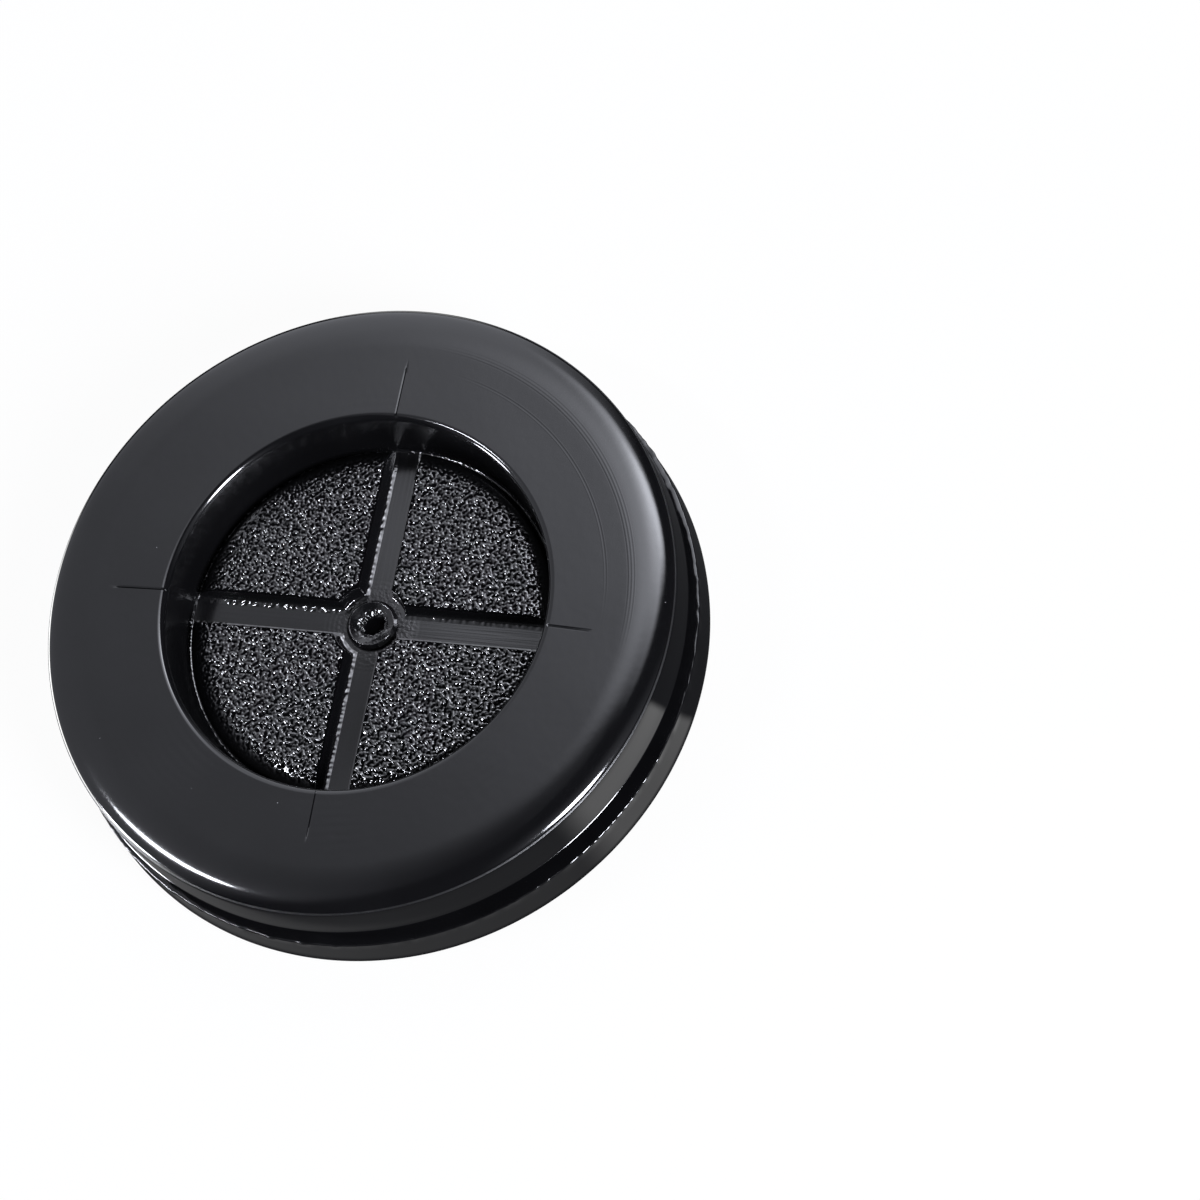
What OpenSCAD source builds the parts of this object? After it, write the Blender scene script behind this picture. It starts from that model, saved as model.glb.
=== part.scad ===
// Panel grommet for cables: a rubber moulding with a wide top flange, a groove that
// grips the panel, a lower flange, and a closed membrane. Its round recess is crossed by
// two channels, along which the user cuts the membrane, between four textured pads.
// Millimetres, +Z up. The origin is the centre of the base.

/* [Flanges] */
// Diameter of the top flange at its parting line
top_flange_d = 50; // [46:0.1:60]
// Height of the top flange, from the groove to the top face
top_flange_h = 4.6; // [3.8:0.1:6]
// Width of the crown, where the top face rolls over to the parting line
crown_w = 3.5; // [1:0.1:4]
// Drop of the crown from the top face to the parting line
crown_drop = 0.9; // [0.4:0.1:1.5]
// Width of the ledge that the mould leaves at the parting line
parting_ledge = 0.1; // [0.05:0.05:0.3]
// Diameter of the lower flange at its upper edge
lower_flange_d = 51.1; // [46:0.1:60]
// Height of the lower flange, from the base to the groove
lower_flange_h = 3.5; // [2.5:0.1:5]
// Rounding of the lower flange's bottom edge
base_edge_r = 0.4; // [0.1:0.1:1]
// Outward lean of each flange's side over its height
side_draft = 0.15; // [0:0.05:0.4]
// Length of the four guide marks in the top face, from the mouth outwards
mark_l = 4.2; // [1:0.1:5]
// Width of a guide mark
mark_w = 0.2; // [0.1:0.05:0.5]
// Depth of a guide mark
mark_depth = 0.1; // [0.05:0.05:0.3]

/* [Panel groove] */
// Diameter of the hole in the panel
panel_hole_d = 40; // [36:0.5:42]
// Gap all round between the neck and the edge of the panel's hole
neck_clearance = 0.1; // [0:0.05:0.5]
// Thickness of the panel
panel_t = 1.8; // [1:0.1:3]
// Play of the panel between the two flanges
groove_clearance = 0.1; // [0:0.05:0.4]
// Fillet at the neck's root, against each flange
root_r = 0.3; // [0.1:0.05:0.4]

/* [Recess] */
// Diameter of the recess's mouth in the top face
mouth_d = 30.5; // [30:0.1:34]
// Diameter of the membrane, where the tapered walls end
membrane_d = 29.9; // [27:0.1:30]
// Diameter of the recess's mouth in the base
base_mouth_d = 30.6; // [30:0.1:33]
// Rounding of the mouth's edge in the top face
mouth_edge_r = 0.5; // [0.1:0.05:1]
// Rounding of the mouth's edge in the base
base_mouth_edge_r = 0.3; // [0.1:0.05:0.6]

/* [Membrane] */
// Depth from the top face down to the floor of the channels
floor_depth = 5.2; // [3:0.1:5.6]
// Thickness of the membrane under the channels
membrane_t = 1.1; // [0.6:0.1:1.5]
// Width of the channels between the tops of the pads
channel_w = 2.7; // [1.5:0.1:4]
// Height of the pads above the floor of the channels
pad_h = 1.4; // [0.6:0.1:2]
// Lean of a pad's straight sides, which widen it towards the floor
pad_lean = 0.25; // [0:0.05:0.4]
// Width of the roll-off where a pad comes down to the wall of the recess
pad_roll_w = 2; // [0.3:0.1:3]

/* [Gate mark] */
// Diameter of the round mark that the moulding gate leaves
gate_d = 4.1; // [3.8:0.1:6]
// Height of the gate mark's rim above the floor of the channels
gate_h = 0.6; // [0.4:0.1:1]
// Width of the rim round the crater where the sprue tore off
gate_rim_w = 0.35; // [0.2:0.05:0.6]
// Gap between the gate mark and the pads round it, at the floor
gate_gap = 0.65; // [0.3:0.05:1.5]
// Diameter of the pit at the bottom of the crater
pit_d = 1.6; // [0.6:0.1:2]
// Depth of the pit below the floor of the channels
pit_depth = 0.4; // [0.1:0.05:0.5]

/* [Hidden] */
$fn = 144;

arc_steps = 8;        // straight steps along a quarter turn of an edge
overcut = 1;          // how far a cutting solid runs past the faces that it opens

top_r = top_flange_d / 2;
lower_r = lower_flange_d / 2;
neck_r = panel_hole_d / 2 - neck_clearance;
membrane_r = membrane_d / 2;
mouth_r = mouth_d / 2;
base_mouth_r = base_mouth_d / 2;
gate_r = gate_d / 2;
crater_r = gate_r - gate_rim_w;
gate_ring_r = gate_r + gate_gap;
pit_r = pit_d / 2;

groove_z = lower_flange_h;
top_flange_z = groove_z + panel_t + groove_clearance;
total_h = top_flange_z + top_flange_h;
parting_z = total_h - crown_drop;
floor_z = total_h - floor_depth;
membrane_z = floor_z - membrane_t;
pad_z = floor_z + pad_h;

// Points on an elliptical arc about (cr, cz) in the profile's plane
function arc(cr, cz, r_out, r_up, from, to) =
    [for (i = [0:arc_steps]) let (a = from + (to - from) * i / arc_steps)
        [cr + r_out * cos(a), cz + r_up * sin(a)]];

// The round space inside the moulding, from below the base to above the top face.
// It narrows from each mouth to the membrane, which closes it.
module recess() {
    rotate_extrude()
        polygon(concat(
            [[0, -overcut], [base_mouth_r + base_mouth_edge_r, -overcut]],
            arc(base_mouth_r + base_mouth_edge_r, base_mouth_edge_r,
                base_mouth_edge_r, base_mouth_edge_r, 270, 180),
            [[membrane_r, membrane_z], [membrane_r, floor_z]],
            arc(mouth_r + mouth_edge_r, total_h - mouth_edge_r,
                mouth_edge_r, mouth_edge_r, 180, 90),
            [[mouth_r + mouth_edge_r, total_h + overcut], [0, total_h + overcut]]));
}

// The four shallow marks that carry the lines of the channels on over the top face
module guide_marks() {
    for (turn = [0:90:270])
        rotate([0, 0, turn])
            translate([mouth_r, -mark_w / 2, total_h - mark_depth])
                cube([mark_l, mark_w, mark_depth + overcut]);
}

// Flat on top, with a crown that rolls over to the parting line and a plain side below it
module top_flange() {
    crown_r = top_r - parting_ledge;
    color("#2b2c30")
        difference() {
            rotate_extrude()
                polygon(concat(
                    [[0, top_flange_z], [top_r + side_draft, top_flange_z], [top_r, parting_z]],
                    arc(crown_r - crown_w, parting_z, crown_w, crown_drop, 0, 90),
                    [[0, total_h]]));
            recess();
            guide_marks();
        }
}

// The sleeve that fills the panel's hole, filleted into both flanges
module neck() {
    fillet_r = neck_r + root_r;
    color("#1d1e21")
        difference() {
            rotate_extrude()
                polygon(concat(
                    [[0, groove_z]],
                    arc(fillet_r, groove_z + root_r, root_r, root_r, 270, 180),
                    arc(fillet_r, top_flange_z - root_r, root_r, root_r, 180, 90),
                    [[0, top_flange_z]]));
            recess();
        }
}

// The flange that is pressed through the panel's hole and holds from behind
module lower_flange() {
    foot_r = lower_r + side_draft;
    color("#26272b")
        difference() {
            rotate_extrude()
                polygon(concat(
                    [[0, 0]],
                    arc(foot_r - base_edge_r, base_edge_r, base_edge_r, base_edge_r, 270, 360),
                    [[lower_r, groove_z], [0, groove_z]]));
            recess();
        }
}

// The closed web, whose top is the floor of the channels, with the pit of the torn sprue
module membrane() {
    color("#303136")
        difference() {
            translate([0, 0, membrane_z])
                cylinder(r = membrane_r, h = membrane_t);
            translate([0, 0, floor_z - pit_depth])
                cylinder(r = pit_r, h = pit_depth + overcut);
        }
}

// All that lies to the right of a channel's leaning side, which at the pad's top is
// half the channel's width from the axis
module right_of_channel() {
    translate([channel_w / 2, 0, pad_z])
        rotate([0, atan(pad_lean / pad_h), 0])
            translate([0, -membrane_d, -membrane_d])
                cube(2 * membrane_d);
}

// The round space about the gate mark, which widens upwards as the channels do
module gate_ring() {
    widening = pad_lean / pad_h;
    translate([0, 0, floor_z - overcut])
        cylinder(r1 = gate_ring_r - widening * overcut,
                 r2 = gate_ring_r + widening * (pad_h + overcut), h = pad_h + 2 * overcut);
}

// One quadrant between the channels, rolled off towards the wall of the recess
module pad(turn) {
    rotate([0, 0, turn])
        difference() {
            intersection() {
                rotate_extrude()
                    polygon(concat(
                        [[0, floor_z]],
                        arc(membrane_r - pad_roll_w, floor_z, pad_roll_w, pad_h, 0, 90),
                        [[0, pad_z]]));
                right_of_channel();
                mirror([1, -1, 0])
                    right_of_channel();
            }
            gate_ring();
        }
}

module pad_back_right() { color("#3a3b40") pad(0); }
module pad_back_left() { color("#3a3b40") pad(90); }
module pad_front_left() { color("#3a3b40") pad(180); }
module pad_front_right() { color("#3a3b40") pad(270); }

// The low round mark of the moulding gate: a rim whose crater narrows down to the pit
module gate_mark() {
    gate_z = floor_z + gate_h;
    color("#202124")
        rotate_extrude()
            polygon([[pit_r, floor_z], [gate_r, floor_z], [gate_r, gate_z],
                     [crater_r, gate_z]]);
}

top_flange();
neck();
lower_flange();
membrane();
pad_front_right();
pad_back_right();
pad_back_left();
pad_front_left();
gate_mark();
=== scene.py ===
"""Looks of the rubber panel grommet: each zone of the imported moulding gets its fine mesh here."""

import math

import bmesh
import bpy
from mathutils import Matrix, Vector, noise
from mathutils.bvhtree import BVHTree


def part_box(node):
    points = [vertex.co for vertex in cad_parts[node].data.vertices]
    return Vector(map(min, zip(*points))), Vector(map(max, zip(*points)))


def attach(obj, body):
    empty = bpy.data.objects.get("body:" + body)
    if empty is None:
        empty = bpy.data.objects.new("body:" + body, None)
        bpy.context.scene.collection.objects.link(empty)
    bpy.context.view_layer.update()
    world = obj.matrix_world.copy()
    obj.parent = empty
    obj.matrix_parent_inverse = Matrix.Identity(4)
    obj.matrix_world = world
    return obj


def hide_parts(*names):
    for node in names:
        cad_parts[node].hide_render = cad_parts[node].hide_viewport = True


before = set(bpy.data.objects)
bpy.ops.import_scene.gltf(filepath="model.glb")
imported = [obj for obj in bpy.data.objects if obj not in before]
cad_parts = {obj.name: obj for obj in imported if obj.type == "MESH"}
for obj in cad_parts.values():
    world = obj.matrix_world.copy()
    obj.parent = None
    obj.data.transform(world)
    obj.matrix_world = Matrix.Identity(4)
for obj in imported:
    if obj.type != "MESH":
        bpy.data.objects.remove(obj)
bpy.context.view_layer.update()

MM = 0.001
STEPS = 720          # steps of a full turn, so that one step is half a degree
WELD = 1e-7          # vertices closer than this are one, in metres

# ---------------------------------------------------------------- image points
W = H = 1200
POINTS = {
    "left edge": (49.5, None),
    "right edge": (705.5, None),
    "top edge": (None, 310.8),
    "bottom edge": (None, 963.0),
    "mouth, left": (158.0, None),
    "mouth, right": (553.6, None),
    "mouth, top": (None, 413.6),
    "mouth, bottom": (None, 793.2),
    "gate mark": (371.7, 623.5),
    "crater": (371.4, 622.5),
    "mark end, top": (407.0, 366.0),
    "mark end, left": (114.7, 586.7),
    "mark end, right": (589.0, 630.1),
    "mark end, bottom": (306.0, 839.5),
}

# ---------------------------------------------------------------------- camera
CAMERA_PLACE = (116.17 * MM, -115.74 * MM, 311.90 * MM)
CAMERA_AIM = (19.331 * MM, 1.704 * MM, 10.0 * MM)
CAMERA_ROLL = -31.571          # degrees, about the line of sight
LENS = 135.0                   # mm
SENSOR_WIDTH = 36.0            # mm


def make_camera():
    """The photograph's viewing angle, aimed first and then rolled about the line of sight."""
    data = bpy.data.cameras.new("camera")
    data.lens = LENS
    data.sensor_width = SENSOR_WIDTH
    data.sensor_fit = "AUTO"
    data.clip_start = 0.01
    data.clip_end = 50.0
    made = bpy.data.objects.new("camera", data)
    bpy.context.scene.collection.objects.link(made)
    place = Vector(CAMERA_PLACE)
    aim = (Vector(CAMERA_AIM) - place).to_track_quat("-Z", "Y").to_matrix().to_4x4()
    roll = Matrix.Rotation(math.radians(CAMERA_ROLL), 4, "Z")
    made.matrix_world = Matrix.Translation(place) @ aim @ roll
    bpy.context.scene.camera = made
    bpy.context.view_layer.update()
    return made


camera = make_camera()


def sight(x, y):
    """The ray of an image point, as its start and its direction in the row frame."""
    ray = Vector((x - W / 2, H / 2 - y, -max(W, H) * LENS / SENSOR_WIDTH))
    turn = camera.matrix_world.to_3x3()
    return camera.matrix_world.translation.copy(), (turn @ ray).normalized()


def shown_at(place):
    """Where a point of the row frame shows in the image."""
    seen = camera.matrix_world.inverted() @ Vector(place)
    scale = max(W, H) * LENS / SENSOR_WIDTH / -seen.z
    return W / 2 + seen.x * scale, H / 2 - seen.y * scale


def tree_of(piece):
    """The tree of a finished piece's faces, in the row frame."""
    places = [piece.matrix_world @ v.co for v in piece.data.vertices]
    faces = [list(face.vertices) for face in piece.data.polygons]
    return BVHTree.FromPolygons(places, faces)


def spot(name, tree):
    """The place on a surface under an image point; a miss takes the nearest place to the ray."""
    start, direction = sight(*POINTS[name])
    hit = tree.ray_cast(start, direction)[0]
    if hit is not None:
        return hit
    near = tree.find_nearest(start + direction * (Vector(CAMERA_AIM) - start).length)[0]
    for _ in range(20):
        near = tree.find_nearest(start + direction * (near - start).dot(direction))[0]
    return near


# ---------------------------------------------------------------------- sizes
# In millimetres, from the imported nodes' boxes, and then those that no box shows.
top_reach, _, top_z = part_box("top_flange")[1] / MM
top_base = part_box("top_flange")[0].z / MM
low_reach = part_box("lower_flange")[1].x / MM
low_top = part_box("lower_flange")[1].z / MM
membrane_low, membrane_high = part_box("membrane")
membrane_r = membrane_high.x / MM
floor_z = membrane_high.z / MM
membrane_z = membrane_low.z / MM
pad_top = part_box("pad_back_right")[1].z / MM
gate_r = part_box("gate_mark")[1].x / MM
gate_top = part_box("gate_mark")[1].z / MM
neck_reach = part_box("neck")[1].x / MM

SIDE_DRAFT = 0.15               # outward lean of each flange's side over its height
CROWN_W = 3.5                   # where the top face rolls over to the parting line
CROWN_DROP = 0.9
LEDGE = 0.1                     # width of the ledge at the parting line
LEDGE_R = 0.09                  # rounding of the ledge's edge
LEDGE_FILLET = 0.05             # and of the corner behind it
MOUTH_R = 15.25
MOUTH_EDGE = 0.5                # rounding of the mouth's edge
BASE_MOUTH_R = 15.3
BASE_MOUTH_EDGE = 0.3
SIDE_FOOT_R = 0.13              # rounding of the top flange's lower edge
ROOT_R = 0.3                    # fillets of the neck
FOOT_R = 0.4                    # rounding of the base's edge
WAVE = 0.012                    # height of the top face's slight waves
MARKS = {"mark end, top": 1, "mark end, left": -1, "mark end, bottom": 1,
         "mark end, right": -1}        # which side of the cut has its gentle wall
MARK_DEPTH = 0.16
MARK_SECTION = ((-0.05, 0.0), (0.0, 1.0), (0.05, 0.16), (0.15, 0.0))    # offset, share of depth
GATE_GAP = 0.65                 # between the gate mark and the pads, at the floor
ROLL_W = 2.0                    # where a pad comes down towards the wall of the recess
WALL_GAP = 0.27                 # and how far from the wall it reaches the floor
PIT_DEPTH = 0.4                 # of the torn sprue's pit, below the floor of the channels
parting_r = top_reach - SIDE_DRAFT
parting_z = top_z - CROWN_DROP


# ------------------------------------------------------------------- materials
class Value:
    """A socket of a shader, on which Python's operators add Math nodes."""

    def __init__(self, graph, socket):
        self.graph = graph
        self.socket = socket

    def maths(self, operation, *values):
        return self.graph.add("ShaderNodeMath", {"operation": operation}, dict(enumerate(values)))

    def __add__(self, other):
        return self.maths("ADD", self, other)

    __radd__ = __add__

    def __sub__(self, other):
        return self.maths("SUBTRACT", self, other)

    def __rsub__(self, other):
        return self.maths("SUBTRACT", other, self)

    def __mul__(self, other):
        return self.maths("MULTIPLY", self, other)

    __rmul__ = __mul__

    def __truediv__(self, other):
        return self.maths("DIVIDE", self, other)

    def __pow__(self, other):
        return self.maths("POWER", self, other)

    def __lt__(self, other):
        return self.maths("LESS_THAN", self, other)

    def __gt__(self, other):
        return self.maths("GREATER_THAN", self, other)

    def sine(self):
        return self.maths("SINE", self)

    def size(self):
        return self.maths("ABSOLUTE", self)

    def ramp(self, low, high):
        """0 at low, 1 at high, and smooth between them; low may be the larger."""
        return self.graph.add("ShaderNodeMapRange", {"interpolation_type": "SMOOTHSTEP"},
                              {"Value": self, "From Min": low, "From Max": high})

    def band(self, start, full, last, end):
        """1 from full to last, 0 before start and after end, and smooth between them."""
        return self.ramp(start, full) * self.ramp(end, last)


class Graph:
    """The nodes of one material or world."""

    def __init__(self, owner):
        owner.use_nodes = True
        self.tree = owner.node_tree
        self.tree.nodes.clear()

    def add(self, kind, settings=None, inputs=None, output=0):
        """Adds one node: its settings first, then its sockets' values or links."""
        node = self.tree.nodes.new(kind)
        for name, setting in (settings or {}).items():
            setattr(node, name, setting)
        for name, value in (inputs or {}).items():
            socket = node.inputs[name]
            if isinstance(value, Value):
                self.tree.links.new(value.socket, socket)
            else:
                socket.default_value = value
        return Value(self, node.outputs[output]) if node.outputs else node

    def millimetres(self, stretch=(1.0, 1.0, 1.0)):
        """Object coordinates in millimetres, stretched along the axes."""
        place = self.add("ShaderNodeTexCoord", output="Object")
        scale = tuple(part / MM for part in stretch)
        return self.add("ShaderNodeMapping", {}, {"Vector": place, "Scale": scale})

    def noise(self, place, scale, detail=2.0, rough=0.5):
        return self.add("ShaderNodeTexNoise", {}, {"Vector": place, "Scale": scale,
                                                   "Detail": detail, "Roughness": rough})

    def split(self, place):
        """The x, y and z of a place."""
        node = self.add("ShaderNodeSeparateXYZ", {}, {"Vector": place}).socket.node
        return [Value(self, socket) for socket in node.outputs]

    def split_round(self, place):
        """The x, y and z of a place, and its radius about the axis."""
        x, y, z = self.split(place)
        return x, y, z, (x * x + y * y) ** 0.5

    def blend(self, factor, first, second):
        """A colour between two, by a factor."""
        return self.add("ShaderNodeMix", {"data_type": "RGBA"},
                        {"Factor": factor, 6: first, 7: second}, output=2)

    def bump(self, height_mm):
        """A normal from a height in millimetres."""
        return self.add("ShaderNodeBump", {}, {"Height": height_mm, "Distance": MM,
                                               "Strength": 1.0})


BLACK = (0.0015, 0.0015, 0.0017, 1.0)       # the rubber's own colour
BLOOM = (0.0028, 0.0028, 0.0031, 1.0)       # where it has a faint haze
DUST = (0.12, 0.12, 0.125, 1.0)             # single specks
PAINTED_SHADE = (0.0008, 0.0008, 0.0009, 1.0)        # painted shade: matt black where hardly any light gets in
SHEEN_LEVEL = 0.5                           # specular level of black moulded rubber
TIP_SHEEN = 1.0                             # and of the grain's polished tips
WALL_SHADE_SHARE = 0.45                            # share of painted shade, as matt black, on the recess's walls


def rubber(name, roughness, height, shade_mask=None, sheen=SHEEN_LEVEL):
    """Black moulded rubber from a roughness, a height and a mask of painted shade, matt black in
    its hollows.
    """
    material = bpy.data.materials.new(name)
    graph = Graph(material)
    place = graph.millimetres()
    haze = graph.noise(place, 0.12, 3.0).ramp(0.45, 0.8) * 0.5
    colour = graph.blend(haze, BLACK, BLOOM)
    from_speck = graph.add("ShaderNodeTexVoronoi", {}, {"Vector": place, "Scale": 0.45})
    kept = graph.noise(place, 0.5, 0.0).ramp(0.52, 0.56)        # specks only here and there
    colour = graph.blend((from_speck < 0.016) * kept, colour, DUST)
    shader = graph.add("ShaderNodeBsdfPrincipled", {}, {
        "Base Color": colour,
        "Roughness": roughness(graph, place),
        "Specular IOR Level": sheen,
        "Normal": graph.bump(height(graph, place)),
    })
    # painted shade: matt black rubber mixed in where the mask is high
    if shade_mask:
        painted_shade = graph.add("ShaderNodeBsdfPrincipled", {}, {
            "Base Color": PAINTED_SHADE, "Roughness": 0.6, "Specular IOR Level": 0.0})
        shader = graph.add("ShaderNodeMixShader", {}, {0: shade_mask(graph, place), 1: shader,
                                                       2: painted_shade})
    graph.add("ShaderNodeOutputMaterial", {}, {"Surface": shader})
    return material


def on_wall(radius):
    """1 on the walls of the recess, and 0 from their rounded edge outwards."""
    return radius.ramp(MOUTH_R + 0.07, MOUTH_R - 0.05)


def face_roughness(graph, place):
    """Glossy, and duller down the wall of the recess and on the parting ledge."""
    _, _, z, radius = graph.split_round(place)
    ledge = (radius - (parting_r - LEDGE / 2)).size().ramp(0.12, 0.06)
    ledge *= (z - parting_z).size().ramp(0.12, 0.06)
    return 0.07 + graph.noise(place, 0.25, 3.0) * 0.05 + on_wall(radius) * 0.14 + ledge * 0.28


def wall_shade(graph, place):
    """Painted shade on the walls of the recess: a share of matt black, so that they are duller and
    darker than the faces.
    """
    _, _, _, radius = graph.split_round(place)
    return on_wall(radius) * WALL_SHADE_SHARE


def face_height(graph, place):
    """Orange peel, fine grain, faint rings that the turned mould leaves, and scored bands."""
    x, y, _, radius = graph.split_round(place)
    wobble = graph.noise(place, 0.35, 1.0) * 5.0
    rings = (radius * 9.0 + wobble).sine() * graph.noise(place, 0.13, 1.0).ramp(0.5, 0.75)
    inner_band = (radius - 19.75).size().ramp(0.20, 0.12)
    outer_band = (radius - 21.75).size().ramp(0.4, 0.3)
    scored_side = (x * 0.76 + y * 0.65).ramp(14.0, 19.0)        # towards 40 degrees
    scored = (inner_band + outer_band) * ((radius * 26.0).sine() * scored_side)
    peel = graph.noise(place, 1.2, 2.0)
    grain = graph.noise(place, 9.0, 2.0)
    return rings * 0.0009 + scored * 0.0015 + peel * 0.0025 + grain * 0.0004


def channel_roughness(graph, place):
    """A little duller than the faces."""
    return 0.11 + graph.noise(place, 0.8, 2.0) * 0.06


def channel_height(graph, place):
    """A web that bulges a little, with fine streaks where the rubber flowed from the gate."""
    x, y, _, radius = graph.split_round(place)
    along_x = (x.size() - y.size()) > 0.0
    rows = graph.noise(graph.millimetres((0.12, 5.0, 0.0)), 1.0, 3.0)
    columns = graph.noise(graph.millimetres((5.0, 0.12, 0.0)), 1.0, 3.0)
    streaks = rows * along_x + columns * (1.0 - along_x)
    streaks *= 0.4 + 0.6 * x.ramp(2.0, 6.0)
    bulge = radius.ramp(13.0, 1.5) * 0.26
    near_gate = radius.ramp(3.9, 2.5) * (0.35 + 0.65 * x.ramp(-0.5, 2.0))
    puckers = graph.noise(place, 3.6, 2.0) * near_gate * 0.055
    return bulge + streaks * 0.012 + puckers + graph.noise(place, 6.0, 2.0) * 0.0005


def grain_roughness(graph, place):
    """Polished."""
    return 0.06 + graph.noise(place, 1.5, 2.0) * 0.04


def grain_height(graph, place):
    """What is too fine for the pads' mesh."""
    return graph.noise(place, 9.0) * 0.0012


def grain_shade(graph, place):
    """Painted shade in the hollows of the grain, by how far they lie under the pad's own form."""
    _, _, z, radius = graph.split_round(place)
    out = (radius - (membrane_r - WALL_GAP - ROLL_W)) / ROLL_W
    out = out.maths("MINIMUM", out.maths("MAXIMUM", out, 0.0), 1.0)
    depth = floor_z + (pad_top - floor_z) * (1.0 - out * out) ** 0.5 - z
    return depth.ramp(-0.014, 0.017) * depth.ramp(0.20, 0.12)


def pit_shade(graph, place):
    """Painted shade in the pit of the torn sprue, from just above the floor of the channels
    downwards.
    """
    _, _, z = graph.split(place)
    return z.ramp(floor_z + 0.02, floor_z - 0.12)


def torn_roughness(graph, place):
    """Uneven from tear to tear."""
    return 0.09 + graph.noise(place, 4.0, 2.0) * 0.08


def torn_height(graph, place):
    """The tears' fine edges."""
    return graph.noise(place, 7.0, 3.0, 0.6) * 0.005


SMOOTH = rubber("smooth black rubber", face_roughness, face_height, wall_shade)
CHANNEL = rubber("flow-streaked black rubber", channel_roughness, channel_height)
GRAINED = rubber("grained black rubber", grain_roughness, grain_height, grain_shade,
                 TIP_SHEEN)
TORN = rubber("torn black rubber", torn_roughness, torn_height, pit_shade)


# ------------------------------------------------------------------ mesh tools
def finish_piece(bm, name, material, node, sharp=35.0):
    """Turns a bmesh into a piece at the origin that rides on the moulding and stands for a node."""
    for edge in bm.edges:
        edge.smooth = edge.calc_face_angle(0.0) < math.radians(sharp)
    for face in bm.faces:
        face.smooth = True
    mesh = bpy.data.meshes.new(name)
    bm.to_mesh(mesh)
    bm.free()
    mesh.materials.append(material)
    piece = bpy.data.objects.new(name, mesh)
    bpy.context.scene.collection.objects.link(piece)
    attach(piece, "root")
    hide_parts(node)
    return piece


def arc(centre_r, centre_z, out, up, start, end, steps):
    """Points of an elliptical arc in the profile's plane, from one angle to another."""
    turns = [math.radians(start + (end - start) * i / steps) for i in range(steps + 1)]
    return [(centre_r + out * math.cos(t), centre_z + up * math.sin(t)) for t in turns]


def lathe(profile, closed=True):
    """A bmesh spun once round the axis from a profile of radii and heights in millimetres."""
    bm = bmesh.new()
    ring = [bm.verts.new((r * MM, 0.0, z * MM)) for r, z in profile]
    ends = ring[1:] + ring[:1] if closed else ring[1:]
    edges = [bm.edges.new(pair) for pair in zip(ring, ends)]
    bmesh.ops.spin(bm, geom=ring + edges, cent=(0.0, 0.0, 0.0), axis=(0.0, 0.0, 1.0),
                   dvec=(0.0, 0.0, 0.0), angle=math.tau, steps=STEPS, use_merge=True,
                   use_duplicate=False)
    bmesh.ops.remove_doubles(bm, verts=bm.verts, dist=WELD)
    bmesh.ops.recalc_face_normals(bm, faces=bm.faces)
    return bm


def polar(place):
    """Radius in mm, angle in radians and height in mm of a place."""
    return math.hypot(place.x, place.y) / MM, math.atan2(place.y, place.x), place.z / MM


def smooth_step(value, low, high):
    """0 below low, 1 above high, and smooth between them."""
    t = min(max((value - low) / (high - low), 0.0), 1.0)
    return t * t * (3.0 - 2.0 * t)


# ---------------------------------------------------------------- recess's walls
def upper_wall(z):
    """Radius of the recess's wall above the membrane."""
    share = (z - floor_z) / (top_z - MOUTH_EDGE - floor_z)
    return membrane_r + (MOUTH_R - membrane_r) * share


def lower_wall(z):
    """Radius of the recess's wall below the membrane."""
    share = (membrane_z - z) / (membrane_z - BASE_MOUTH_EDGE)
    return membrane_r + (BASE_MOUTH_R - membrane_r) * share


# ------------------------------------------------------------------ top flange
def top_flange_profile():
    """Up the wall, out over the face and the crown, down the side, and back underneath."""
    crown_r = parting_r - LEDGE
    wall = [(upper_wall(z), z) for z in (top_base, 6.5, 7.6, 8.7, 9.2)]
    rim = arc(MOUTH_R + MOUTH_EDGE, top_z - MOUTH_EDGE, MOUTH_EDGE, MOUTH_EDGE, 180, 90, 8)
    face = [(r, top_z) for r in (15.8, 16.3, 17.0, 18.0, 18.9, 19.2, 19.5, 19.8, 20.4, 21.0)]
    crown = arc(crown_r - CROWN_W, parting_z, CROWN_W, CROWN_DROP, 90, 6, 30)
    crown += arc(crown_r + LEDGE_FILLET, parting_z + LEDGE_FILLET, LEDGE_FILLET, LEDGE_FILLET,
                 186, 270, 4)
    ledge = arc(parting_r - LEDGE_R, parting_z - LEDGE_R, LEDGE_R, LEDGE_R, 90, 0, 4)
    foot = arc(top_reach - SIDE_FOOT_R, top_base + SIDE_FOOT_R, SIDE_FOOT_R, SIDE_FOOT_R,
               0, -90, 6)
    side = [(parting_r + SIDE_DRAFT * share, parting_z + (top_base - parting_z) * share)
            for share in (0.2, 0.4, 0.6, 0.8, 0.93)]
    side += [(top_reach - 0.004, top_base + 0.20), (top_reach + 0.022, top_base + 0.175)]
    under = [(22.5, top_base), (19.0, top_base)]
    return wall + rim + face + crown + ledge + side + foot + under


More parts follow.
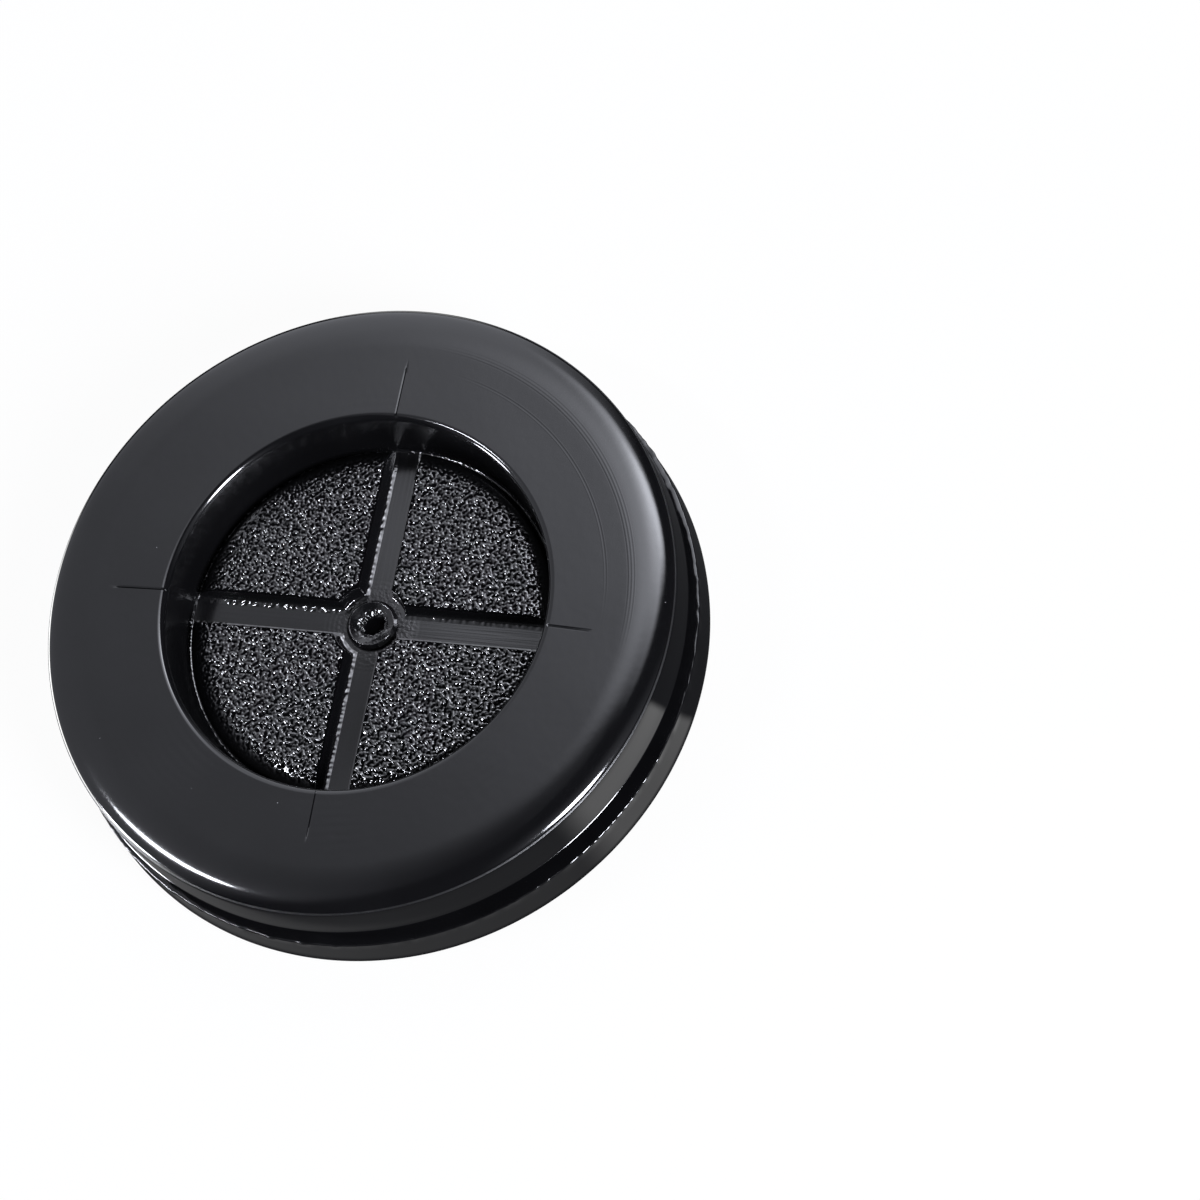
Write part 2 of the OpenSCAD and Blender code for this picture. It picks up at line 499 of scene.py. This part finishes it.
def cut_mark(bm, end, side):
    """One hand-cut guide mark, from the mouth out to a place on the face."""
    reach = math.hypot(end.x, end.y)
    along = Vector((end.x, end.y, 0.0)) / reach
    across = Vector((-along.y, along.x, 0.0)) * side
    for offset, _ in MARK_SECTION:
        near = [f for f in bm.faces if (place := f.calc_center_median()).dot(along) > 14.0 * MM
                and abs(place.dot(across)) < 0.6 * MM and place.z > (top_z - 0.7) * MM]
        edges = list(dict.fromkeys(e for f in near for e in f.edges))
        verts = list(dict.fromkeys(v for f in near for v in f.verts))
        bmesh.ops.bisect_plane(bm, geom=near + edges + verts, dist=WELD,
                               plane_co=across * offset * MM, plane_no=across)
    for vert in bm.verts:
        if vert.co.dot(along) < 15.0 * MM or vert.co.z < (top_z - 0.6) * MM:
            continue
        for offset, share in MARK_SECTION:
            if abs(vert.co.dot(across) - offset * MM) < 2e-6:
                taper = smooth_step((reach - vert.co.dot(along)) / MM, 0.0, 0.9)
                rim = smooth_step(vert.co.dot(along) / MM, MOUTH_R + 0.1, MOUTH_R + MOUTH_EDGE)
                vert.co.z -= MARK_DEPTH * share * taper * rim * MM


def make_top_flange():
    """The cover ring, a little wavy as moulded rubber is, with its four guide marks."""
    bm = lathe(top_flange_profile())
    for vert in bm.verts:
        r, _, z = polar(vert.co)
        if r > 16.0 and z > top_base + 0.1:
            wave = noise.noise(vert.co / MM * 0.16) * WAVE
            vert.co.z += wave * smooth_step(r, 16.0, 18.0) * MM
    face = BVHTree.FromBMesh(bm)
    for name, side in MARKS.items():
        cut_mark(bm, spot(name, face), side)
    return finish_piece(bm, "top_flange_moulding", SMOOTH, "top_flange")


# ------------------------------------------------------------------------ neck
def make_neck():
    """The sleeve in the panel's hole, filleted into both flanges."""
    inner = [(upper_wall(top_base), top_base), (membrane_r, floor_z), (membrane_r, membrane_z),
             (lower_wall(low_top), low_top)]
    lower_root = arc(neck_reach, low_top + ROOT_R, ROOT_R, ROOT_R, 270, 180, 6)
    upper_root = arc(neck_reach, top_base - ROOT_R, ROOT_R, ROOT_R, 180, 90, 6)
    bm = lathe(inner + lower_root + upper_root)
    return finish_piece(bm, "neck_moulding", SMOOTH, "neck")


# ---------------------------------------------------------------- lower flange
EDGE_R = 0.09        # rounding of the upper edge, under its ragged flash
FLASH_OUT = 0.05     # how far the flash's raggedness goes out
FLASH_UP = 0.03      # and up
TUFT = 0.06          # and how much more where it tore in tufts, both ways
SWELL = 0.012        # unevenness of the side


def make_lower_flange():
    """The ring behind the panel, with the flash that the mould leaves on its upper edge."""
    upper_r = low_reach - SIDE_DRAFT
    inner = [(lower_wall(low_top), low_top), (lower_wall(2.0), 2.0)]
    mouth = arc(BASE_MOUTH_R + BASE_MOUTH_EDGE, BASE_MOUTH_EDGE, BASE_MOUTH_EDGE,
                BASE_MOUTH_EDGE, 180, 270, 6)
    base = [(18.0, 0.0), (21.0, 0.0)]
    foot = arc(low_reach - FOOT_R, FOOT_R, FOOT_R, FOOT_R, 270, 360, 8)
    side = [(low_reach - SIDE_DRAFT * share, FOOT_R + (low_top - 0.2 - FOOT_R) * share)
            for share in (0.25, 0.5, 0.75, 1.0)]
    edge = arc(upper_r - EDGE_R, low_top - EDGE_R, EDGE_R, EDGE_R, 0, 90, 5)
    top = [(25.2, low_top), (24.0, low_top), (21.5, low_top)]
    bm = lathe(inner + mouth + base + foot + side + edge + top)
    for vert in bm.verts:
        r, angle, z = polar(vert.co)
        out = Vector((math.cos(angle), math.sin(angle), 0.0))
        if r > upper_r - EDGE_R - 0.005 and z > low_top - EDGE_R - 0.005:
            ragged = noise.noise(out * 56.0 + Vector((0.0, 0.0, z * 0.5)))
            tuft = max(noise.noise(out * 31.0 + Vector((0.0, 0.0, 7.3))), 0.0)
            vert.co += out * (ragged * FLASH_OUT + tuft * TUFT) * MM
            vert.co.z += (ragged * FLASH_UP + tuft * TUFT) * MM
        elif r > 21.0 and z < low_top - 0.15:
            vert.co += out * noise.noise(vert.co / MM * 0.2) * SWELL * MM
    return finish_piece(bm, "lower_flange_moulding", SMOOTH, "lower_flange",
                        50.0)


# -------------------------------------------------------------------- membrane
WALL_FILLET = 0.22   # where the web turns up into the recess's wall
WALL_RAGGED = 0.06   # raggedness of its upper edge
RIPPLE_H = 0.003     # the ripples round the gate mark
RIPPLE_W = 0.38      # from one ripple to the next


def make_membrane():
    """The web, with fine ripples round the gate mark and a fillet up to the wall."""
    radii = [2.0 + 0.05 * i for i in range(60)]
    radii += [5.3, 6.0, 8.0, 10.0, 12.0, 13.0, 14.0]
    pit_z = floor_z - PIT_DEPTH - 0.1           # the gate mark's own mesh shows above it
    top = [(0.0, pit_z), (1.1, pit_z), (1.5, floor_z)]
    for r in radii:
        ripple = math.sin((r - 2.0) / RIPPLE_W * math.tau) * RIPPLE_H
        ripple *= smooth_step(r, 2.5, 2.8) * (1.0 - smooth_step(r, 3.2, 4.4))
        top.append((r, floor_z + ripple))
    fillet = arc(membrane_r - WALL_FILLET, floor_z + WALL_FILLET, WALL_FILLET, WALL_FILLET,
                 270, 360, 8)
    rest = [(membrane_r, membrane_z), (0.0, membrane_z)]
    bm = lathe(top + fillet + rest, closed=False)
    for vert in bm.verts:
        r, _, z = polar(vert.co)
        if r > membrane_r - WALL_FILLET - 0.01 and z > floor_z + 0.01:
            ragged = noise.noise(vert.co / MM * 3.0) * WALL_RAGGED
            vert.co.z += ragged * smooth_step(membrane_r - r, 0.0, 0.06) * MM
        elif 2.4 < r < 5.0 and abs(z - floor_z) < 0.02:
            left = smooth_step(-vert.co.x / MM, 1.0, 2.4)
            vert.co.z = (floor_z + (z - floor_z) * (0.35 + 0.8 * left)) * MM
    return finish_piece(bm, "membrane_web", CHANNEL, "membrane")


# ------------------------------------------------------------------------ pads
SINK = 0.05          # how far a pad's base goes into the membrane
CELL = 0.05          # of a pad's grid
SIDE_TOP = 1.35      # half the channel's width between the tops of the pads
SIDE_LEAN = 0.25     # how much a pad widens towards the floor
FILLET_W = 0.40      # the foot of a pad's side spreads this far over the floor
FILLET_H = 0.16      # and rises this high
EDGE_ROUND = 0.20    # rounding of a pad's upper edge
GRAIN_H = 0.070      # height of the grain
FINE_GRAIN = 0.22    # share of its finer part
TORN_H = 0.022       # raggedness of the foot along a channel
DEEP_TORN_H = 0.05   # and of the one foot that is torn more
WALL_FOOT = 0.25     # the ragged fillet that the web has along the wall


def rounded_side():
    """Steps in from the channel: distance from its middle line, and height above the floor."""
    height = pad_top - floor_z
    foot = SIDE_TOP - SIDE_LEAN - FILLET_W * 0.8
    low = [(foot + x, FILLET_H + z) for x, z in arc(0.0, 0.0, FILLET_W, FILLET_H, 270, 340, 7)]
    high = arc(SIDE_TOP + EDGE_ROUND, height - EDGE_ROUND, EDGE_ROUND, EDGE_ROUND, 170, 90, 6)
    middle = [(low[-1][0] + (high[0][0] - low[-1][0]) * s,
               low[-1][1] + (high[0][1] - low[-1][1]) * s) for s in (0.33, 0.67)]
    return low + middle + high


SIDE = rounded_side()


def steps_across():
    """The grid's lines: close together over the leaning side, even over the pad."""
    lines = [d for d, _ in SIDE]
    while lines[-1] < membrane_r + CELL:
        lines.append(lines[-1] + CELL)
    return lines


def side_height(d):
    """Height of the leaning side above the floor, at a distance from the channel's middle."""
    for (d0, z0), (d1, z1) in zip(SIDE, SIDE[1:]):
        if d <= d1:
            return z0 + (z1 - z0) * max(d - d0, 0.0) / max(d1 - d0, 1e-9)
    return SIDE[-1][1]


RING_FOOT = gate_r + GATE_GAP - FILLET_W * 0.8     # where the pads' fillet round the gate starts


def pad_height(x, y, seed, torn_h):
    """Height of a pad above the floor, with its grain."""
    r = math.hypot(x, y)
    from_side = min(x, y, r - RING_FOOT + SIDE[0][0])
    height = side_height(from_side)
    full = pad_top - floor_z
    inward = membrane_r - WALL_GAP - r
    if inward < ROLL_W:
        roll = full * math.sqrt(max(1.0 - ((ROLL_W - inward) / ROLL_W) ** 2, 0.0))
        height = min(height, roll)
    place = Vector((x, y, seed))
    if membrane_r - r < WALL_FOOT:
        across = WALL_FOOT - (membrane_r - r)
        foot = WALL_FOOT - math.sqrt(max(WALL_FOOT ** 2 - across ** 2, 0.0))
        height = max(height, foot * (1.0 + noise.noise(place * 5.5) * 0.8))
    up = from_side - SIDE[0][0]
    torn = smooth_step(up, 0.0, 0.10) * (1.0 - smooth_step(up, 0.24, 0.42))
    torn *= torn_h if x < y else TORN_H         # torn_h is of the foot that runs along Y
    height += torn * (0.5 + noise.noise(place * 3.1))
    inside = from_side - SIDE[-1][0]
    edge = smooth_step(inside, -0.34, -0.18) * (1.0 - smooth_step(inside, -0.10, 0.10))
    mask = (smooth_step(inside, -0.34, -0.12) + edge * 0.8) * smooth_step(inward, 0.45, 1.4)
    coarse = noise.noise(Vector((x * 4.1, y * 4.1, seed)))
    fine = noise.noise(Vector((x * 7.0 + 9.1, y * 7.0 + 3.7, seed)))
    return height + mask * GRAIN_H * (coarse + fine * FINE_GRAIN)


def onto_circle(x, y, radius):
    """The place moved straight out or in onto a circle about the axis."""
    r = math.hypot(x, y)
    return x * radius / r, y * radius / r


def raised_form(lines, keep, snap, height, sink):
    """A grid bent to a height over the floor, cut to its outline, with sides and a base."""
    bm = bmesh.new()
    cells = len(lines) - 1
    bmesh.ops.create_grid(bm, x_segments=cells, y_segments=cells, size=0.5)
    for vert in bm.verts:
        column = round((vert.co.x + 0.5) * cells)
        row = round((vert.co.y + 0.5) * cells)
        vert.co = Vector((lines[column], lines[row], 0.0))
    gone = [v for v in bm.verts if not keep(v.co.x, v.co.y)]
    bmesh.ops.delete(bm, geom=gone, context="VERTS")
    for vert in bm.verts:
        x, y = snap(vert.co.x, vert.co.y)
        vert.co = Vector((x * MM, y * MM, (floor_z + height(x, y)) * MM))
    bmesh.ops.remove_doubles(bm, verts=bm.verts, dist=2e-6)
    rim = [e for e in bm.edges if e.is_boundary]
    grown = bmesh.ops.extrude_edge_only(bm, edges=rim)["geom"]
    base = [g for g in grown if isinstance(g, bmesh.types.BMEdge) and g.is_boundary]
    for vert in (g for g in grown if isinstance(g, bmesh.types.BMVert)):
        vert.co.z = (floor_z - sink) * MM
    bmesh.ops.holes_fill(bm, edges=base, sides=0)
    bmesh.ops.recalc_face_normals(bm, faces=bm.faces)
    return bm


def make_pad(node, turn, seed, torn_h=TORN_H):
    """One quadrant, built between the +X and +Y channels and then turned to its place."""
    lines = steps_across()

    def keep(x, y):
        return RING_FOOT - 0.02 < math.hypot(x, y) < membrane_r + 0.6 * CELL

    def snap(x, y):
        r = math.hypot(x, y)
        if r > membrane_r - 0.5 * CELL:
            return onto_circle(x, y, membrane_r)
        if r < RING_FOOT + 0.03:
            return onto_circle(x, y, RING_FOOT)
        return x, y

    bm = raised_form(lines, keep, snap, lambda x, y: pad_height(x, y, seed, torn_h), SINK)
    bmesh.ops.rotate(bm, cent=(0, 0, 0), matrix=Matrix.Rotation(math.radians(turn), 3, "Z"),
                     verts=bm.verts)
    return finish_piece(bm, node + "_grained", GRAINED, node, 60.0)


# ------------------------------------------------------------------- gate mark
GATE_CELL = 0.042    # of the gate mark's grid
GATE_SINK = 0.06     # how far its base goes below the pit


def make_gate_mark():
    """A round rim, a ragged crater inside it, and the pit where the sprue tore out."""
    count = int(gate_r / GATE_CELL) + 2
    lines = [i * GATE_CELL for i in range(-count, count + 1)]
    full = gate_top - floor_z

    def keep(x, y):
        return math.hypot(x, y) < gate_r + 0.6 * GATE_CELL

    def snap(x, y):
        if math.hypot(x, y) > gate_r - 0.5 * GATE_CELL:
            return onto_circle(x, y, gate_r)
        return x, y

    def height(x, y):
        """The lowest of the rim's side, the crater and the rim's top, torn between them."""
        r = math.hypot(x, y)
        place = Vector((x, y, 4.0))
        ragged = noise.noise(place * 1.3) * 0.30 + noise.noise(place * 3.7) * 0.14
        inward = r + ragged * (1.0 - smooth_step(r, 1.0, 1.5))
        side = 0.26 + (gate_r - r) * 1.1
        crater = (full - 0.04) - (1.80 - inward) * 0.50 - max(0.86 - inward, 0.0) * 1.2
        rough = noise.noise(place * 5.0) * 0.11 + noise.noise(place * 10.0) * 0.05
        torn = smooth_step(inward, 0.60, 0.82) * (1.0 - smooth_step(inward, 0.98, 1.25))
        torn = max(torn, 0.05)
        return max(min(side, crater, full - 0.03) + torn * rough, 0.02 - PIT_DEPTH)

    bm = raised_form(lines, keep, snap, height, PIT_DEPTH + GATE_SINK)
    return finish_piece(bm, "gate_mark_torn", TORN, "gate_mark", 60.0)


top_flange = make_top_flange()
neck = make_neck()
lower_flange = make_lower_flange()
membrane = make_membrane()
pads = [make_pad("pad_back_right", 0, 2.0), make_pad("pad_back_left", 90, 17.0, DEEP_TORN_H),
        make_pad("pad_front_left", 180, 139.0), make_pad("pad_front_right", 270, 51.0)]
gate_mark = make_gate_mark()
PIECES = [top_flange, neck, lower_flange, membrane, gate_mark] + pads


# ----------------------------------------------------------------- the studio
# The floor's and the tent's patches are placed by what the glossy rubber shows of them.
WHITE = (1.0, 1.0, 1.0, 1.0)
COOL = (0.95, 0.975, 1.07, 1.0)     # the lamps' faintly blue white
PAPER = (0.016, 0.016, 0.016, 1.0)  # dark, so that its glow alone makes it white
TURNED_TO = 110.0          # azimuth from which bearings are counted

CAMERA_GLOW = 0.95         # what the paper adds to itself for the camera
GLOSS_GLOW = 0.004         # and for reflections
LEFT_GLOW = 9.0            # the same in a wide patch left of the grommet
BACK_GLOW = 1.0            # and behind it
FRONT_GLOW = 0.06          # and close in front of it, which the flanges' sides show
FOOT_GLOW = 0.10           # with this much more within about 3 mm of its foot
RIGHT_GLOW = 0.74          # and close by on the right

TENT_GLOW = 0.03           # of the whole tent
FAR_GLOW = 0.71            # more on its far side
FAR_RIGHT_GLOW = 0.66      # and more again on the right of that
LOW_GLOW = 0.5             # low down straight behind
SKYLIGHT_GLOW = 3.1        # high up behind
WINDOW_GLOW = 6.6          # the soft window, behind on the right
CORE_GLOW = 5.0            # and its bright middle
HAZE_GLOW = 0.38           # faint, in front on the right

LAMP_DISTANCE = 0.9        # metres
LAMPS = {                  # azimuth, elevation, breadth, height and turn in degrees, radiance
    "lamp, left": (197, 53, 18, 3.8, 45, 90.0),
    "lamp, front": (331, 31, 18, 32, 0, 65.0),
    "lamp, low left": (208, 6, 16, 12, 0, 70.0),
}


def towards(azimuth, elevation):
    """The direction of an azimuth and an elevation in degrees."""
    a, e = math.radians(azimuth), math.radians(elevation)
    return Vector((math.cos(a) * math.cos(e), math.sin(a) * math.cos(e), math.sin(e)))


def stage_piece(name, bm, material, seen_by_camera=True):
    """Turns a bmesh into a part of the studio."""
    mesh = bpy.data.meshes.new(name)
    bm.to_mesh(mesh)
    bm.free()
    mesh.materials.append(material)
    made = bpy.data.objects.new(name, mesh)
    bpy.context.scene.collection.objects.link(made)
    made.visible_camera = seen_by_camera


def seen_rays(graph):
    """Camera, glossy and transmission rays."""
    outputs = graph.add("ShaderNodeLightPath").socket.node.outputs
    return [Value(graph, outputs[ray]) for ray in (
        "Is Camera Ray", "Is Glossy Ray", "Is Transmission Ray")]


def bearing_of(x, y):
    """Azimuth in degrees, counted from TURNED_TO."""
    turn = math.radians(TURNED_TO)
    ahead = x * math.cos(turn) + y * math.sin(turn)
    aside = y * math.cos(turn) - x * math.sin(turn)
    return aside.maths("ARCTAN2", aside, ahead) * math.degrees(1.0)


def make_floor():
    """Paper that shows white to the camera, keeps a faint shadow, and has bright patches."""
    material = bpy.data.materials.new("white paper")
    graph = Graph(material)
    camera_ray, glossy_ray, through_ray = seen_rays(graph)
    paper = graph.add("ShaderNodeBsdfDiffuse", {}, {"Color": PAPER})
    x, y, _, reach = graph.split_round(graph.millimetres())
    bearing = bearing_of(x, y)
    left = bearing.band(44.0, 72.0, 104.0, 126.0) * reach.band(27.0, 42.0, 50.0, 190.0)
    back = bearing.band(-24.0, -14.0, -4.0, 6.0) * reach.band(27.0, 40.0, 60.0, 190.0)
    close = reach.band(25.8, 26.2, 31.0, 34.0)
    foot = reach.ramp(28.6, 27.6)
    front = (0.2 + 0.8 * (x / reach).ramp(-0.45, 0.45)) * FRONT_GLOW + foot * FOOT_GLOW
    front *= (y * -1.0 / reach).ramp(0.35, 0.75) * close
    right = bearing.band(-151.0, -141.0, -119.0, -117.0) * close * (1.0 - 0.3 * foot)
    gloss = GLOSS_GLOW + left * LEFT_GLOW + back * BACK_GLOW + front + right * RIGHT_GLOW
    share = camera_ray * CAMERA_GLOW + (glossy_ray + through_ray) * gloss
    glow = graph.add("ShaderNodeEmission", {}, {"Color": WHITE, "Strength": share})
    both = graph.add("ShaderNodeAddShader", {}, {0: paper, 1: glow})
    graph.add("ShaderNodeOutputMaterial", {}, {"Surface": both})
    bm = bmesh.new()
    bmesh.ops.create_circle(bm, cap_ends=True, segments=96, radius=3.0)
    stage_piece("floor", bm, material)


def make_tent():
    """A tent round the table: dark on the camera's side, with a big soft window behind it."""
    material = bpy.data.materials.new("tent cloth")
    graph = Graph(material)
    place = graph.add("ShaderNodeTexCoord", output="Object")
    out = graph.add("ShaderNodeVectorMath", {"operation": "NORMALIZE"}, {0: place})
    x, y, z = graph.split(out)
    bearing = bearing_of(x, y)
    rise = z.maths("ARCSINE", z) * math.degrees(1.0)
    far = bearing.ramp(-45.0, -8.0) * (bearing.ramp(130.0, 85.0) * FAR_GLOW
                                       + bearing.ramp(38.0, -5.0) * FAR_RIGHT_GLOW)
    far *= 1.0 - 0.9 * rise.ramp(55.0, 85.0)
    low = bearing.band(-24.0, -10.0, 10.0, 40.0) * rise.ramp(56.0, 44.0)
    skylight = bearing.band(-60.0, -40.0, -12.0, 32.0) * rise.band(45.0, 65.0, 68.0, 78.0)
    window = bearing.band(-55.0, -40.0, -30.0, -8.0) * rise.ramp(71.0, 56.0)
    window *= (rise + (bearing + 35.0) * 0.4).ramp(41.0, 54.0)      # its lower edge slopes
    core = bearing.band(-58.0, -48.0, -32.0, -18.0) * rise.band(48.0, 52.0, 54.0, 61.0)
    haze = bearing.band(-175.0, -145.0, -118.0, -88.0) * rise.ramp(80.0, 55.0)
    light = TENT_GLOW + far + low * LOW_GLOW + skylight * SKYLIGHT_GLOW
    light += window * WINDOW_GLOW + core * CORE_GLOW + haze * HAZE_GLOW
    cloth = graph.add("ShaderNodeEmission", {}, {"Color": COOL, "Strength": light})
    graph.add("ShaderNodeOutputMaterial", {}, {"Surface": cloth})
    bm = bmesh.new()
    bmesh.ops.create_uvsphere(bm, u_segments=96, v_segments=48, radius=2.0)
    under = [f for f in bm.faces if f.calc_center_median().z < 0.0]
    bmesh.ops.delete(bm, geom=under, context="FACES")
    stage_piece("tent", bm, material, seen_by_camera=False)


def make_lamp(name, azimuth, elevation, wide, tall, turn, radiance):
    """A soft lamp by the angles that it fills as seen from the grommet, in degrees."""
    data = bpy.data.lights.new(name, "AREA")
    data.shape = "ELLIPSE"
    data.size = 2.0 * LAMP_DISTANCE * math.tan(math.radians(wide / 2))
    data.size_y = 2.0 * LAMP_DISTANCE * math.tan(math.radians(tall / 2))
    data.energy = math.pi * data.size * data.size_y * radiance
    data.color = COOL[:3]
    lamp = bpy.data.objects.new(name, data)
    bpy.context.scene.collection.objects.link(lamp)
    place = towards(azimuth, elevation) * LAMP_DISTANCE
    facing = (-place).to_track_quat("-Z", "Y").to_matrix().to_4x4()
    turned = Matrix.Rotation(math.radians(turn), 4, "Z")
    lamp.matrix_world = Matrix.Translation(place) @ facing @ turned
    lamp.visible_camera = False


def make_world():
    """White to camera, glossy and transmission rays, and a plain grey to everything else."""
    world = bpy.data.worlds.new("studio")
    bpy.context.scene.world = world
    graph = Graph(world)
    camera_ray, glossy_ray, through_ray = seen_rays(graph)
    seen = camera_ray + glossy_ray + through_ray
    plain = graph.add("ShaderNodeBackground", {}, {"Color": WHITE, "Strength": 0.5})
    white = graph.add("ShaderNodeBackground", {}, {"Color": WHITE, "Strength": 1.0})
    mixed = graph.add("ShaderNodeMixShader", {}, {0: seen, 1: plain, 2: white})
    graph.add("ShaderNodeOutputWorld", {}, {"Surface": mixed})


make_floor()
make_world()
make_tent()
for lamp_name, lamp_form in LAMPS.items():
    make_lamp(lamp_name, *lamp_form)
bpy.context.scene.view_settings.view_transform = "Standard"


# --------------------------------------------------------------------- where the pieces show in the image, and how far from POINTS
def shown_edges(pieces):
    """Where the pieces' outline ends in the image: left, right, top and bottom."""
    places = [shown_at(piece.matrix_world @ v.co) for piece in pieces
              for v in piece.data.vertices]
    xs = [x for x, _ in places]
    ys = [y for _, y in places]
    return min(xs), max(xs), min(ys), max(ys)


def write_reports():
    left, right, top, bottom = shown_edges(PIECES)
    mouth = [shown_at((MOUTH_R + MOUTH_EDGE) * MM * Vector((math.cos(a), math.sin(a), 0.0))
                      + Vector((0.0, 0.0, top_z * MM)))
             for a in (math.radians(k) for k in range(360))]
    face = tree_of(top_flange)
    shown = {
        "left edge": (left, None),
        "right edge": (right, None),
        "top edge": (None, top),
        "bottom edge": (None, bottom),
        "mouth, left": (min(x for x, _ in mouth), None),
        "mouth, right": (max(x for x, _ in mouth), None),
        "mouth, top": (None, min(y for _, y in mouth)),
        "mouth, bottom": (None, max(y for _, y in mouth)),
        "gate mark": shown_at((0.0, 0.0, gate_top * MM)),
        "crater": shown_at((0.0, 0.0, gate_top * MM)),
    }
    shown.update({name: shown_at(spot(name, face)) for name in MARKS})
    for name, point in POINTS.items():
        errors = [None if want is None else round(got - want, 2)
                  for want, got in zip(point, shown[name])]


write_reports()
